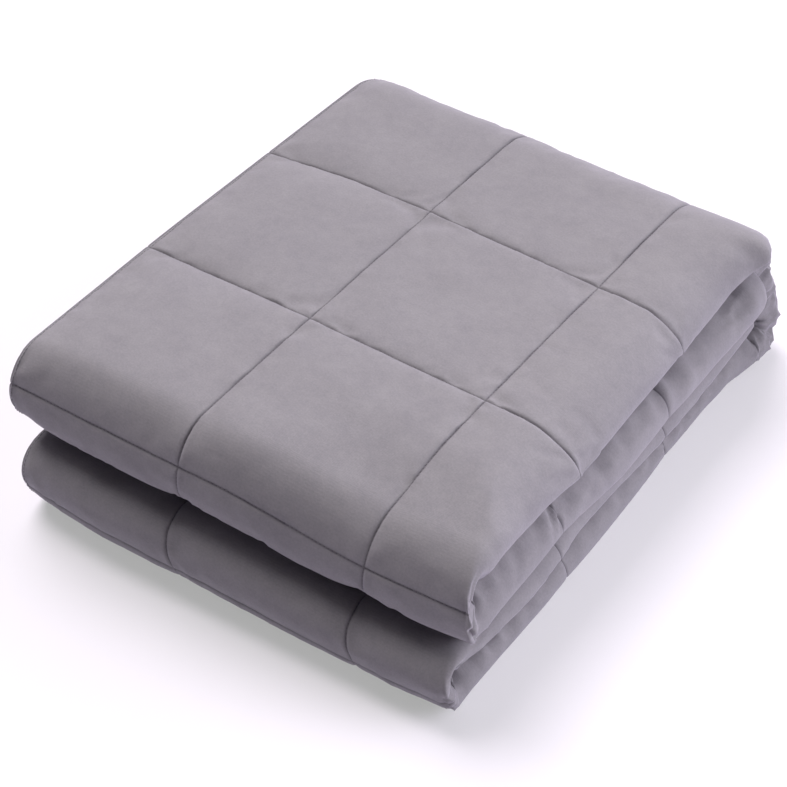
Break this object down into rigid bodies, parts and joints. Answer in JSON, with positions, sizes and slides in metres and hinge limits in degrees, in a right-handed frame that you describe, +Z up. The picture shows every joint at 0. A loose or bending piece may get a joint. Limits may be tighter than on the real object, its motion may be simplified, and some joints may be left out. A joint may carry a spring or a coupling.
{
  "type": "folded weighted blanket",
  "caption": "Quilted weighted blanket, folded into a thick rectangular stack with rounded folds and square sewn pockets.",
  "frame": {"origin": "on the surface the blanket lies on, under the middle of its box", "axes": "+Z up, +Y from the two front folds to the back wall, +X from the hems to the big folds"},
  "size_m": [0.3934, 0.5076, 0.1412],
  "materials": {
    "cotton_shell": "smooth matt lavender-grey cotton"
  },
  "bodies": {
    "root": {"blanket": "cotton_shell"}
  },
  "joints": []
}
